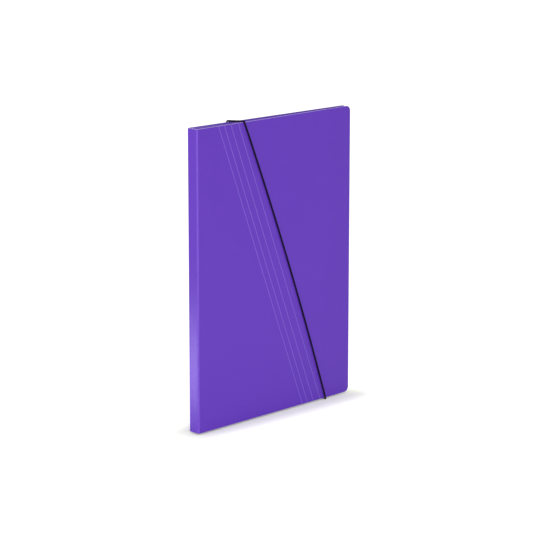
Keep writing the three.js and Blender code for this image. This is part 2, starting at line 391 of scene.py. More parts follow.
@dataclass(frozen=True)
class SatinFilm:
    """Board printed in one colour under a satin polypropylene film, as a laminator makes it.

    The film gives a broad soft gloss, a faint orange peel, and a paler colour where a fold stretches it,
    which also serves as a painted highlight on folds, rims and embossed lines.
    Every finish gives the sizes of its patterns and the depths of its relief in millimetres.

    Attributes:
        cloud: Size of the faint clouds in the print.
        crackle: Size of the breaks in stretched film, coarser than real ones so that they show.
        peel: Size of the orange peel, as a laminator's roller leaves it.
        wave: Size of the board's own waves.
    """

    name: str = "satin_film_on_board"
    print_colour: str = "#5B2FAF"
    deep_colour: str = "#572CAA"
    # Paler film: partly stretched film, partly a painted highlight
    stretch_and_highlight_colour: str = "#9A7BE0"
    stretch_and_highlight: float = 0.0
    roughness: float = 0.4
    unevenness: float = 0.03
    gloss: float = 0.22
    cloud: float = 28.0
    crackle: float = 2.2
    peel: float = 0.9
    peel_depth: float = 0.04
    wave: float = 45.0
    wave_depth: float = 0.25

    def build(self) -> Material:
        """Makes the material.

        Returns:
            The finished material.
        """
        material, tree = new_material(self.name)
        place = add(tree, "ShaderNodeTexCoord").outputs["Object"]
        cloud = add(
            tree, "ShaderNodeTexNoise", {"Vector": place, "Scale": per_metre(self.cloud), "Detail": 3.0}
        ).outputs["Fac"]
        tone = add(
            tree,
            "ShaderNodeMix",
            {
                "Factor": cloud,
                FIRST_COLOUR: linear(self.deep_colour),
                SECOND_COLOUR: linear(self.print_colour),
            },
            data_type="RGBA",
        ).outputs[MIXED_COLOUR]
        fold = add(tree, "ShaderNodeAttribute", attribute_name="fold").outputs["Fac"]
        crackle = add(
            tree, "ShaderNodeTexNoise", {"Vector": place, "Scale": per_metre(self.crackle), "Detail": 4.0}
        ).outputs["Fac"]
        broken = add(
            tree,
            "ShaderNodeMapRange",
            {"Value": crackle, "From Min": 0.3, "From Max": 0.7, "To Min": 0.55, "To Max": 1.0},
        ).outputs["Result"]
        # Share of the paler colour: partly stretched film, partly a painted highlight
        stretch_and_highlight_share = add(
            tree,
            "ShaderNodeMath",
            {0: fold, 1: broken, 2: self.stretch_and_highlight},
            operation="MULTIPLY_ADD",
            use_clamp=True,
        ).outputs["Value"]
        colour = add(
            tree,
            "ShaderNodeMix",
            {"Factor": stretch_and_highlight_share, FIRST_COLOUR: tone, SECOND_COLOUR: linear(self.stretch_and_highlight_colour)},
            data_type="RGBA",
        ).outputs[MIXED_COLOUR]
        sheen = add(
            tree,
            "ShaderNodeMapRange",
            {
                "Value": cloud,
                "To Min": self.roughness - self.unevenness,
                "To Max": self.roughness + self.unevenness,
            },
        ).outputs["Result"]
        wave = add(
            tree, "ShaderNodeTexNoise", {"Vector": place, "Scale": per_metre(self.wave)}
        ).outputs["Fac"]
        wavy = add(
            tree, "ShaderNodeBump", {"Strength": 0.3, "Distance": self.wave_depth * MM, "Height": wave}
        ).outputs["Normal"]
        peel = add(
            tree, "ShaderNodeTexNoise", {"Vector": place, "Scale": per_metre(self.peel)}
        ).outputs["Fac"]
        rippled = add(
            tree,
            "ShaderNodeBump",
            {"Strength": 0.12, "Distance": self.peel_depth * MM, "Height": peel, "Normal": wavy},
        ).outputs["Normal"]
        shader = add(
            tree,
            "ShaderNodeBsdfPrincipled",
            {
                "Base Color": colour,
                "Roughness": sheen,
                "IOR": 1.49,
                "Specular IOR Level": self.gloss,
                "Normal": rippled,
            },
        )
        add(tree, "ShaderNodeOutputMaterial", {"Surface": shader.outputs["BSDF"]})
        return material


@dataclass(frozen=True)
class PressedPaper:
    """Uncoated paper fibre, as on a board's cut edge or on its unlaminated inside.

    It is quite matt, with short fibres that catch the light in specks.

    Attributes:
        fibre: Size of a fibre, coarser than a real one so that it shows.
    """

    name: str
    light_colour: str
    dark_colour: str
    fibre: float = 0.35
    roughness: float = 0.75
    relief: float = 0.05

    def build(self) -> Material:
        """Makes the material.

        Returns:
            The finished material.
        """
        material, tree = new_material(self.name)
        place = add(tree, "ShaderNodeTexCoord").outputs["Object"]
        fibres = add(
            tree,
            "ShaderNodeTexNoise",
            {"Vector": place, "Scale": per_metre(self.fibre), "Detail": 5.0, "Roughness": 0.65},
        ).outputs["Fac"]
        colour = add(
            tree,
            "ShaderNodeMix",
            {
                "Factor": fibres,
                FIRST_COLOUR: linear(self.dark_colour),
                SECOND_COLOUR: linear(self.light_colour),
            },
            data_type="RGBA",
        ).outputs[MIXED_COLOUR]
        rough = add(
            tree, "ShaderNodeBump", {"Strength": 0.4, "Distance": self.relief * MM, "Height": fibres}
        ).outputs["Normal"]
        shader = add(
            tree,
            "ShaderNodeBsdfPrincipled",
            {
                "Base Color": colour,
                "Roughness": self.roughness,
                "Specular IOR Level": 0.25,
                "Normal": rough,
            },
        )
        add(tree, "ShaderNodeOutputMaterial", {"Surface": shader.outputs["BSDF"]})
        return material


@dataclass(frozen=True)
class BraidedElastic:
    """Black polyester yarn braided round rubber.

    The yarn is matt with a faint sheen, and its fine filaments break up the light on each strand. The gaps
    between strands are coloured darker as painted shade.

    Attributes:
        filament: Size of a filament, coarser than a real one so that it shows.
    """

    name: str = "braided_elastic"
    yarn_colour: str = "#1E1034"
    shaded_gap_colour: str = "#04020C"
    filament: float = 0.2
    relief: float = 0.05

    def build(self) -> Material:
        """Makes the material.

        Returns:
            The finished material.
        """
        material, tree = new_material(self.name)
        strand = add(tree, "ShaderNodeAttribute", attribute_name="strand").outputs["Fac"]
        # Darker in the braid's gaps: painted shade
        colour = add(
            tree,
            "ShaderNodeMix",
            {
                "Factor": strand,
                FIRST_COLOUR: linear(self.shaded_gap_colour),
                SECOND_COLOUR: linear(self.yarn_colour),
            },
            data_type="RGBA",
        ).outputs[MIXED_COLOUR]
        place = add(tree, "ShaderNodeTexCoord").outputs["Object"]
        filaments = add(
            tree, "ShaderNodeTexNoise", {"Vector": place, "Scale": per_metre(self.filament), "Detail": 3.0}
        ).outputs["Fac"]
        rough = add(
            tree, "ShaderNodeBump", {"Strength": 0.5, "Distance": self.relief * MM, "Height": filaments}
        ).outputs["Normal"]
        shader = add(
            tree,
            "ShaderNodeBsdfPrincipled",
            {
                "Base Color": colour,
                "Roughness": 0.8,
                "Specular IOR Level": 0.04,
                "Sheen Weight": 0.06,
                "Sheen Roughness": 0.5,
                "Normal": rough,
            },
        )
        add(tree, "ShaderNodeOutputMaterial", {"Surface": shader.outputs["BSDF"]})
        return material


@dataclass(frozen=True)
class NickelPlate:
    """Bright nickel on pressed steel, barrel plated.

    Plating follows the tool marks, so its mirror is a little clouded.

    Attributes:
        polished: Roughness where it is brightest.
        clouded: Roughness where it is dullest.
        tool_mark: Size of a tool mark, coarser than a real one so that it shows.
    """

    name: str = "nickel_plate"
    colour: str = "#A3A3A2"
    polished: float = 0.16
    clouded: float = 0.34
    tool_mark: float = 0.6
    relief: float = 0.02

    def build(self) -> Material:
        """Makes the material.

        Returns:
            The finished material.
        """
        material, tree = new_material(self.name)
        place = add(tree, "ShaderNodeTexCoord").outputs["Object"]
        marks = add(
            tree, "ShaderNodeTexNoise", {"Vector": place, "Scale": per_metre(self.tool_mark), "Detail": 4.0}
        ).outputs["Fac"]
        haze = add(
            tree, "ShaderNodeMapRange", {"Value": marks, "To Min": self.polished, "To Max": self.clouded}
        ).outputs["Result"]
        rough = add(
            tree, "ShaderNodeBump", {"Strength": 0.15, "Distance": self.relief * MM, "Height": marks}
        ).outputs["Normal"]
        shader = add(
            tree,
            "ShaderNodeBsdfPrincipled",
            {
                "Base Color": linear(self.colour),
                "Metallic": 1.0,
                "Roughness": haze,
                "Normal": rough,
            },
        )
        add(tree, "ShaderNodeOutputMaterial", {"Surface": shader.outputs["BSDF"]})
        return material


@dataclass(frozen=True)
class Finishes:
    """The finishes of the folder, each made once."""

    film: Material
    worn: Material
    line: Material
    core: Material
    liner: Material
    card: Material
    card_core: Material
    elastic: Material
    nickel: Material

    @classmethod
    def make(cls) -> "Finishes":
        """Makes every material of the folder.

        Returns:
            The set of finishes.
        """
        return cls(
            film=SatinFilm().build(),
            # Paler film on rims: partly worn film, partly a painted highlight where the rim catches light
            worn=SatinFilm("film_on_cut_edge", stretch_and_highlight_colour="#B9A4EC", stretch_and_highlight=0.8).build(),
            # Paler film in the embossed lines: partly stretched film, partly a painted highlight on the
            # grooves' flanks
            line=SatinFilm("film_in_embossed_line", stretch_and_highlight=0.34, roughness=0.32).build(),
            core=PressedPaper("cut_grey_board", "#C9C0DF", "#A79CC6").build(),
            liner=PressedPaper("printed_inside", "#6A47B4", "#6542AE", relief=0.03).build(),
            card=SatinFilm("satin_film_on_card", roughness=0.46, wave=30.0).build(),
            card_core=PressedPaper("cut_card", "#DDD8EA", "#BFB7D4").build(),
            elastic=BraidedElastic().build(),
            nickel=NickelPlate().build(),
        )

    def board(self) -> tuple[Material, ...]:
        """The materials of a piece of board, in the order of its slots."""
        return (self.film, self.core, self.liner, self.worn, self.line)

    def flap(self) -> tuple[Material, ...]:
        """The materials of a piece of card, in the order of its slots."""
        return (self.card, self.card_core, self.liner, self.card, self.card)


# Covers and spine


@dataclass(frozen=True)
class Crease:
    """A rounded fold of board between two panels, where the folder's hinge is.

    It is made with its first panel along +X from the corner, its second one turned from that by
    the angle between them, and its outer face away from the second panel.
    """

    name: str
    bodies: tuple[str, str]
    place: Matrix
    angle: float
    height: float
    board: float
    radius: float = 2.0 * MM
    lead: float = 1.5 * MM
    steps: int = 16
    # How much paler the fold's middle is: partly stretched film, partly a painted highlight
    paling: float = 0.27

    @property
    def setback(self) -> float:
        """Distance from the corner to where the rounding starts, on either panel."""
        return self.radius * math.tan((math.pi - self.angle) / 2)

    @property
    def reach(self) -> float:
        """Distance from the corner to the end of the crease piece, on either panel."""
        return self.setback + self.lead

    def build(self, finishes: Finishes) -> Object:
        """Models the crease.

        Args:
            finishes: The folder's finishes.

        Returns:
            The crease piece.
        """
        sweep = math.pi - self.angle
        onward = Vector((math.cos(self.angle), -math.sin(self.angle), 0)) * self.lead
        strip = vertical_plane(self.name, self.setback, self.reach, self.height, 1)
        dress(strip, *finishes.board())
        with editing(strip):
            pick(strip, Part.EDGE, lambda edge: all(v.co.x < self.setback + TINY for v in edge.verts))
            bpy.ops.mesh.spin(
                steps=self.steps, angle=-sweep, center=(self.setback, -self.radius, 0), axis=(0, 0, 1)
            )
            bpy.ops.mesh.extrude_region_move(TRANSFORM_OT_translate={"value": onward})
            bpy.ops.mesh.select_all(action="SELECT")
            bpy.ops.mesh.remove_doubles(threshold=TINY)
            bpy.ops.mesh.normals_make_consistent(inside=False)
        thicken(strip, self.board)
        soften_rim(
            strip, CoverBoard.rim_radius, lambda edge: abs(edge.verts[0].co.z - edge.verts[1].co.z) > TINY
        )
        smooth(strip, Smooth.BOARD)
        self.mark_fold(strip)
        put(strip, self.place)
        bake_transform(strip)
        return strip

    def mark_fold(self, strip: Object) -> None:
        """Stores how much paler the film is at each point, most at the middle of the fold: partly stretched
        film, partly a painted highlight along the fold.

        Args:
            strip: The crease piece, still round the origin.
        """
        sweep = math.pi - self.angle
        centre = Vector((self.setback, -self.radius, 0))
        fold = strip.data.attributes.new("fold", "FLOAT", "POINT")
        for vertex, value in zip(strip.data.vertices, fold.data):
            arm = vertex.co - centre
            turned = math.atan2(-arm.x, arm.y) / sweep
            outside = math.hypot(arm.x, arm.y) > self.radius - self.board / 2
            if outside and 0 < turned < 1:
                # Paler toward the fold's middle: partly stretched film, partly a painted highlight
                value.value = self.paling * math.sin(math.pi * turned) ** 2


@dataclass(frozen=True)
class CoverBoard:
    """A flat panel of board, made along +X from the corner of its crease.

    Its outer face is at Y = 0, and its inner face on the given side of that. A line's section is
    given as shares of its width and of its depth.
    """

    name: str
    node: str
    body: str
    place: Matrix
    inward: int
    start: float
    end: float
    height: float
    board: float
    corner_radius: float = 0.0
    line_middles: tuple[float, ...] = ()
    line_travel: float = 0.0

    rim_radius = 0.22 * MM
    line_width = 0.9 * MM
    line_depth = 0.25 * MM
    line_section = ((-0.5, 0.0), (-0.3, 0.6), (0.0, 1.0), (0.3, 0.6), (0.5, 0.0))

    def build(self, finishes: Finishes) -> Object:
        """Models the panel.

        Args:
            finishes: The folder's finishes.

        Returns:
            The panel.
        """
        panel = vertical_plane(self.name, self.start, self.end, self.height, -self.inward)
        dress(panel, *finishes.board())
        if self.corner_radius:
            self.round_corners(panel)
        thicken(panel, self.board)
        for middle in self.line_middles:
            self.emboss(panel, middle)
        soften_rim(panel, self.rim_radius, self.joins_crease)
        smooth(panel, Smooth.BOARD)
        put(panel, self.place)
        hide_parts(self.node)
        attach(panel, self.body)
        return panel

    def joins_crease(self, edge: BMEdge) -> bool:
        """Whether an edge lies where a crease piece joins on."""
        ends = [self.start] if self.corner_radius else [self.start, self.end]
        return any(all(abs(v.co.x - x) < TINY for v in edge.verts) for x in ends)

    def round_corners(self, panel: Object) -> None:
        """Rounds the two corners at the fore-edge.

        Args:
            panel: The panel, still a plane.
        """
        with editing(panel):
            pick(panel, Part.VERTEX, lambda vertex: vertex.co.x > self.end - TINY)
            bpy.ops.mesh.bevel(offset=self.corner_radius, segments=12, profile=0.5, affect="VERTICES")

    def emboss(self, panel: Object, middle: float) -> None:
        """Presses one slanting line into the panel.

        Args:
            panel: The panel with its thickness.
            middle: The line's X at half the panel's height.
        """
        along = Vector((-self.line_travel, 0, self.height)).normalized()
        across = Vector((along.z, 0, -along.x))
        centre = Vector((middle, 0, self.height / 2))
        with editing(panel):
            for share, _ in self.line_section:
                bpy.ops.mesh.select_all(action="SELECT")
                bpy.ops.mesh.bisect(
                    plane_co=centre + across * (share * self.line_width), plane_no=across, threshold=1e-7
                )
            for share, depth in self.line_section:
                ridge = centre + across * (share * self.line_width)
                pick(panel, Part.VERTEX, lambda vertex: abs((vertex.co - ridge).dot(across)) < NEAR)
                bpy.ops.transform.translate(value=(0, self.inward * depth * self.line_depth, 0))
        # Faces in the groove take the paler line film, partly a painted highlight
        for face in panel.data.polygons:
            aside = abs((face.center - centre).dot(across))
            if face.material_index == Slot.FILM and aside < self.line_width / 2:
                face.material_index = Slot.LINE


@dataclass(frozen=True)
class Covers:
    """Both covers, the spine and the two creases between them."""

    folder: FolderFrame
    corner_radius: float = 6 * MM
    line_spacings: tuple[float, ...] = (8 * MM, 11 * MM, 9.5 * MM, 8.4 * MM)

    def build(self, finishes: Finishes, cord: "ElasticCord") -> list[Object]:
        """Models the covers.

        Args:
            finishes: The folder's finishes.
            cord: The cord, whose slant the embossed lines follow.

        Returns:
            The five pieces.
        """
        folder = self.folder
        back_place = Matrix.Translation(folder.back_corner)
        spine_place = back_place @ Matrix.Rotation(-math.pi / 2, 4, "Z")
        front_place = Matrix.Translation(folder.front_corner) @ Matrix.Rotation(folder.lean, 4, "Z")
        size = {"height": folder.height, "board": folder.board}
        back_crease = Crease("back_crease", ("back", "spine"), back_place, math.pi / 2, **size)
        front_crease = Crease(
            "front_crease",
            ("spine", "front"),
            Matrix.Translation(folder.front_corner) @ Matrix.Rotation(math.pi / 2, 4, "Z"),
            math.pi / 2 - folder.lean,
            **size,
        )
        cord_middle = (cord.top_crossing + cord.bottom_crossing) / 2 * MM
        back = CoverBoard(
            name="back_board",
            node="back_cover",
            body="back",
            place=back_place,
            inward=-1,
            start=back_crease.reach,
            end=folder.width,
            corner_radius=self.corner_radius,
            **size,
        )
        spine = CoverBoard(
            name="spine_board",
            node="spine",
            body="spine",
            place=spine_place,
            inward=1,
            start=back_crease.reach,
            end=folder.depth - front_crease.reach,
            **size,
        )
        front = CoverBoard(
            name="front_board",
            node="front_cover",
            body="front",
            place=front_place,
            inward=1,
            start=front_crease.reach,
            end=folder.width,
            corner_radius=self.corner_radius,
            line_middles=tuple(cord_middle - offset for offset in accumulate(self.line_spacings)),
            line_travel=(cord.bottom_crossing - cord.top_crossing) * MM,
            **size,
        )
        panels = [panel.build(finishes) for panel in (back, spine, front)]
        return panels + [crease.build(finishes) for crease in (back_crease, front_crease)]


# Flaps


@dataclass(frozen=True)
class CardSizes:
    """Sizes that the three flaps share, in millimetres, the same as in the model."""

    thickness: float = 0.6
    inset: float = 0.4
    glue_gap: float = 0.1
    tab_width: float = 20.0
    wall_slack: float = 0.4
    wall_bow: float = 0.5
    clearance: float = 0.3
    reach: float = 95.0
    slant: float = 15.0
    corner_radius: float = 12.0
    spine_clearance: float = 4.0
    corner_opening: float = 30.0
    fold_radius: float = 0.65
    rim_radius: float = 0.12
    curve_steps: int = 6


@dataclass(frozen=True)
class Flap:
    """A creased card: a glued tab, a bowed wall and a panel, as one bent sheet.

    It is made along +X, with the cover's edge at Z = 0 and its panel reaching down from there.

    Attributes:
        length: How long its creases are.
        section: Gives its outer face as (inward, depth) points, in millimetres, at a place along it.
    """

    name: str
    node: str
    place: Matrix
    length: float
    section: Callable[[float], list[Vector]]
    sizes: CardSizes = CardSizes()
    cuts: int = 11

    def build(self, finishes: Finishes) -> Object:
        """Models the flap.

        Args:
            finishes: The folder's finishes.

        Returns:
            The flap.
        """
        first = self.section(0.0)
        last = self.section(self.length)
        slant = self.sizes.slant * MM
        card = vertical_plane(self.name, 0.0, self.length * MM, self.sizes.tab_width * MM, 1)
        dress(card, *finishes.flap())
        with editing(card):
            bpy.ops.mesh.select_all(action="SELECT")
            tab_move = (0, first[0].y * MM, -first[0].x * MM)
            bpy.ops.transform.translate(value=tab_move)
            crease_z = -first[0].x * MM + self.sizes.tab_width * MM
            pick(card, Part.EDGE, lambda edge: all(v.co.z > crease_z - TINY for v in edge.verts))
            self.shift_ends(card, first[1] - first[0], last[1] - last[0], self.sizes.tab_width)
            for index in range(2, len(first)):
                bpy.ops.mesh.extrude_region_move()
                self.shift_ends(card, first[index] - first[index - 1], last[index] - last[index - 1])
            free_z = -self.sizes.reach * MM
            self.narrow(card, free_z, slant)
            pick(card, Part.VERTEX, lambda vertex: vertex.co.z < free_z + TINY)
            bpy.ops.mesh.bevel(
                offset=self.sizes.corner_radius * MM, segments=10, profile=0.5, affect="VERTICES"
            )
            pick(card, Part.EDGE, self.runs_along)
            bpy.ops.mesh.subdivide(number_cuts=self.cuts)
        thicken(card, self.sizes.thickness * MM)
        soften_rim(card, self.sizes.rim_radius * MM, lambda edge: False)
        smooth(card, Smooth.CARD)
        put(card, self.place)
        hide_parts(self.node)
        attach(card, "back")
        return card

    def shift_ends(self, card: Object, first: Vector, last: Vector, already: float = 0.0) -> None:
        """Moves the selected edge, each of its two ends by its own step.

        Args:
            card: The flap, open in edit mode with one edge selected.
            first: Step (inward, depth) of the end at X = 0, in millimetres.
            last: Step of the other end.
            already: How far the edge has moved outward before.
        """
        bpy.ops.transform.translate(value=(0, first.y * MM, (-first.x - already) * MM))
        if (last - first).length < TINY:
            return
        middle = self.length / 2 * MM
        chosen = {v.index for v in bmesh.from_edit_mesh(card.data).verts if v.select}
        pick(card, Part.VERTEX, lambda v: v.index in chosen and v.co.x > middle)
        bpy.ops.transform.translate(value=(0, (last.y - first.y) * MM, -(last.x - first.x) * MM))
        pick(card, Part.EDGE, lambda edge: {v.index for v in edge.verts} == chosen)

    def narrow(self, card: Object, free_z: float, slant: float) -> None:
        """Draws the ends of the free edge in, so that the panel's ends run aslant.

        Args:
            card: The flap, open in edit mode.
            free_z: Z of the free edge.
            slant: How far each end moves in.
        """
        for sign, test in ((1, lambda x: x < TINY), (-1, lambda x: x > self.length * MM - TINY)):
            pick(card, Part.VERTEX, lambda v: v.co.z < free_z + TINY and test(v.co.x))
            bpy.ops.transform.translate(value=(sign * slant, 0, 0))

    def runs_along(self, edge: BMEdge) -> bool:
        """Whether an edge runs the whole length of the wall or of its creases."""
        a, b = edge.verts
        return abs(a.co.x - b.co.x) > (self.length - TINY) * MM - TINY


@dataclass(frozen=True)
class Flaps:
    """The three flaps that hold the sheets."""

    folder: FolderFrame
    sizes: CardSizes = CardSizes()

    @property
    def tab_face(self) -> float:
        """Depth of the tabs' outer face."""
        return -(self.folder.board / MM + self.sizes.glue_gap)

    def panel_face(self, x: float, layer: int) -> float:
        """Depth of a panel's outer face.

        Args:
            x: Distance from the spine.
            layer: 0 for the panel next to the front cover, 1 for the one below it.

        Returns:
            The depth, negative toward the front, in millimetres.
        """
        lean = self.folder.lean
        cover = x * math.tan(lean) - self.folder.depth / MM + self.folder.board / MM / math.cos(lean)
        return cover + self.sizes.clearance + layer * (self.sizes.thickness + self.sizes.clearance)

    @property
    def wall_width(self) -> float:
        """Width of every flap's wall."""
        return self.tab_face - self.panel_face(0, 1) + self.sizes.wall_slack

    def profile(self, crest_depth: float, free_depth: float) -> list[Vector]:
        """The outer face of a flap's bent sheet, with rounded creases.

        Args:
            crest_depth: Depth of the panel where the wall meets it.
            free_depth: Depth of the panel at its free edge.

        Returns:
            Points (inward, depth), in millimetres.
        """
        sizes = self.sizes
        lean = math.sqrt(self.wall_width**2 - (self.tab_face - crest_depth) ** 2)
        crest = Vector((sizes.inset + lean, crest_depth))
        base = Vector((sizes.inset, self.tab_face))
        along = (crest - base).normalized()
        bulge = (base + crest) / 2 + Vector((along.y, -along.x)) * (2 * sizes.wall_bow)
        half_turn = (bulge - base).angle(Vector((-1, 0))) / 2
        base -= Vector((sizes.fold_radius * (math.tan(half_turn) - 1), 0))
        tab = Vector((sizes.inset + sizes.tab_width, self.tab_face))
        free = Vector((sizes.reach, free_depth))
        base_bend = self.rounded(tab, base, bulge)
        crest_bend = self.rounded(bulge, crest, free)
        start, end = base_bend[-1], crest_bend[0]
        wall = [arc_point(start, bulge, end, t) for t in even_steps(1, sizes.curve_steps)[1:-1]]
        return [tab, *base_bend, *wall, *crest_bend, free]

    def rounded(self, before: Vector, corner: Vector, after: Vector) -> list[Vector]:
        """Points round a crease, from one side to the other.

        Args:
            before: A point on the side before the corner.
            corner: The sharp corner.
            after: A point on the side after it.

        Returns:
            The rounded corner.
        """
        into = (corner - before).normalized()
        out = (after - corner).normalized()
        turn = into.angle(out)
        reach = self.sizes.fold_radius * math.tan(turn / 2)
        start = corner - into * reach
        end = corner + out * reach
        weight = math.cos(turn / 2)
        shares = even_steps(1, self.sizes.curve_steps)
        return [arc_point(start, corner, end, share, weight) for share in shares]

    def build(self, finishes: Finishes) -> list[Object]:
        """Models the three flaps.

        Args:
            finishes: The folder's finishes.

        Returns:
            The top, bottom and fore-edge flap.
        """
        folder, sizes = self.folder, self.sizes
        width, height, board = folder.width / MM, folder.height / MM, folder.board / MM
        near = board + sizes.spine_clearance
        far = width - sizes.corner_opening

        def flat(x: float) -> list[Vector]:
            """The section of the top or bottom flap at a distance from the spine."""
            return self.profile(self.panel_face(x, 1), self.panel_face(x, 1))

        fore_crest = self.panel_face(width - sizes.inset - self.wall_width, 0)
        fore_free = self.panel_face(width - sizes.reach, 0)
        origin = Matrix.Translation(folder.back_corner)
        top = Flap(
            name="top_flap",
            node="flap_top",
            place=origin @ Matrix.Translation(Vector((near, 0, height)) * MM),
            length=far - near,
            section=lambda along: flat(near + along),
        )
        bottom = Flap(
            name="bottom_flap",
            node="flap_bottom",
            place=origin
            @ Matrix.Translation(Vector((far, 0, 0)) * MM)
            @ Matrix.Rotation(math.pi, 4, "Y"),
            length=far - near,
            section=lambda along: flat(far - along),
        )
        fore_edge = Flap(
            name="fore_edge_flap",
            node="flap_fore_edge",
            place=origin
            @ Matrix.Translation(Vector((width, 0, height - sizes.corner_opening)) * MM)
            @ Matrix.Rotation(math.pi / 2, 4, "Y"),
            length=height - 2 * sizes.corner_opening,
            section=lambda along: self.profile(fore_crest, fore_free),
        )
        return [flap.build(finishes) for flap in (top, bottom, fore_edge)]


# Eyelets and end bars


def turned(name: str, profile: list[tuple[float, float]], closed: bool, sides: int) -> Object:
    """Turns a profile about Z: a circle is extruded from one point of it to the next.

    Args:
        name: The new object's name.
        profile: (radius, height) points, in millimetres.
        closed: Whether the last ring is joined to the first; otherwise both ends get a face.
        sides: How many sides each ring has.

    Returns:
        The turned piece, round the origin.
    """
    radius, height = profile[0]
    bpy.ops.object.select_all(action="DESELECT")
    bpy.ops.mesh.primitive_circle_add(
        vertices=sides, radius=radius * MM, location=(0, 0, height * MM), fill_type="NOTHING"
    )
    piece = bpy.context.object
    piece.name = name
    piece.data.name = name
    bpy.ops.object.transform_apply(location=True, rotation=True, scale=True)
    with editing(piece):
        bpy.ops.mesh.select_mode(type="EDGE")
        bpy.ops.mesh.select_all(action="SELECT")
        for next_radius, next_height in profile[1:]:
            bpy.ops.mesh.extrude_region_move()
            bpy.ops.transform.translate(value=(0, 0, (next_height - height) * MM))
            share = next_radius / radius
            bpy.ops.transform.resize(value=(share, share, 1), center_override=(0, 0, 0))
            radius, height = next_radius, next_height
        pick(piece, Part.EDGE, lambda edge: edge.is_boundary)
        if closed:
            bpy.ops.mesh.bridge_edge_loops()
        else:
            bpy.ops.mesh.edge_face_add()
        bpy.ops.mesh.select_all(action="SELECT")
        bpy.ops.mesh.normals_make_consistent(inside=False)
    return piece


@dataclass(frozen=True)
class CordEnd:
    """An eyelet in the back cover and the bar that holds the cord's end inside it. Millimetres.

    Attributes:
        sleeve_steps: Change of the crimped sleeve's radius at distances from the bar's middle.
    """

    folder: FolderFrame
    label: str
    x: float
    z: float
    bore: float = 1.5
    barrel: float = 2.0
    flange: float = 3.4
    seat: float = 0.1
    flange_thickness: float = 0.4
    rim_thickness: float = 0.6
    cord_clearance: float = 0.15
    bar_radius: float = 0.75
    bar_length: float = 12.0
    tip_radius: float = 0.08
    sleeve_radius: float = 1.2
    sleeve_steps: tuple[tuple[float, float], ...] = (
        (-0.15, 0.0),
        (0.0, 0.5),
        (0.0, 0.95),
        (-0.14, 1.1),
        (-0.14, 1.35),
        (0.0, 1.5),
        (0.0, 1.85),
        (-0.15, 2.0),
    )
    sides: int = 56

    @property
    def rim_start(self) -> float:
        """Depth at which the rolled rim starts, inside the flap's tab."""
        card = CardSizes()
        return -(self.folder.board / MM + card.glue_gap + card.thickness + self.seat)

    def build(self, finishes: Finishes) -> list[Object]:
        """Models the eyelet and the bar.

        Args:
            finishes: The folder's finishes.

        Returns:
            Both pieces.
        """
        pieces = [self.eyelet(), self.bar()]
        nodes = (f"eyelet_{self.label}", f"end_bar_{self.label}")
        for piece, node in zip(pieces, nodes):
            smooth(piece, Smooth.METAL)
            dress(piece, finishes.nickel)
            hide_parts(node)
            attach(piece, "back")
        return pieces

    def eyelet(self) -> Object:
        """Models the tubular eyelet: a domed flange, the barrel and the rolled rim.

        Returns:
            The eyelet.
        """
        outside = self.seat + self.flange_thickness
        middle = (self.bore + self.flange) / 2
        half = (self.flange - self.bore) / 2
        edge = self.flange_thickness / 2
        quarter = even_steps(math.pi / 2, 4)
        roll = even_steps(math.pi, 10)
        profile = [(self.bore, self.rim_start)]
        profile += [
            (self.bore + edge * (1 - math.cos(a)), outside - edge * (1 - math.sin(a))) for a in quarter
        ]
        profile += [
            (self.flange - edge * (1 - math.sin(a)), outside - edge * (1 - math.cos(a))) for a in quarter
        ]
        profile += [(self.flange, self.seat), (self.barrel, self.seat), (self.barrel, self.rim_start)]
        profile += [
            (middle + half * math.cos(a), self.rim_start - self.rim_thickness * math.sin(a))
            for a in roll[:-1]
        ]
        piece = turned(f"{self.label}_eyelet", profile, True, self.sides)
        put(piece, self.stand())
        return piece

    def stand(self) -> Matrix:
        """The place of a turned piece whose axis goes through the back cover."""
        lying = Matrix.Rotation(-math.pi / 2, 4, "X")
        return Matrix.Translation(self.folder.at(self.x, 0, self.z)) @ lying

    def bar(self) -> Object:
        """Models the bar with the sleeve that is crimped on the cord.

        Returns:
            The bar.
        """
        axis = self.rim_start - self.rim_thickness - self.cord_clearance - self.bar_radius
        radius = self.bar_radius
        cap = radius - self.bar_length / 2
        quarter = even_steps(math.pi / 2, 5)
        tip = [(max(radius * math.sin(a), self.tip_radius), cap - radius * math.cos(a)) for a in quarter]
        profile = tip + [(reach, -height) for reach, height in reversed(tip)]
        bar = turned(f"{self.label}_end_bar", profile, False, 24)
        middle = Matrix.Translation(self.folder.at(self.x, axis, self.z))
        put(bar, middle @ Matrix.Rotation(math.pi / 2, 4, "Y"))
        sleeve_profile = [(self.sleeve_radius + change, axis + far) for change, far in self.sleeve_steps]
        sleeve = turned("crimped_sleeve", sleeve_profile, False, 32)
        put(sleeve, self.stand())
        finish_with(bar, "BOOLEAN", operation="UNION", object=sleeve, solver="EXACT")
        bpy.data.objects.remove(sleeve)
        return bar


# Elastic cord


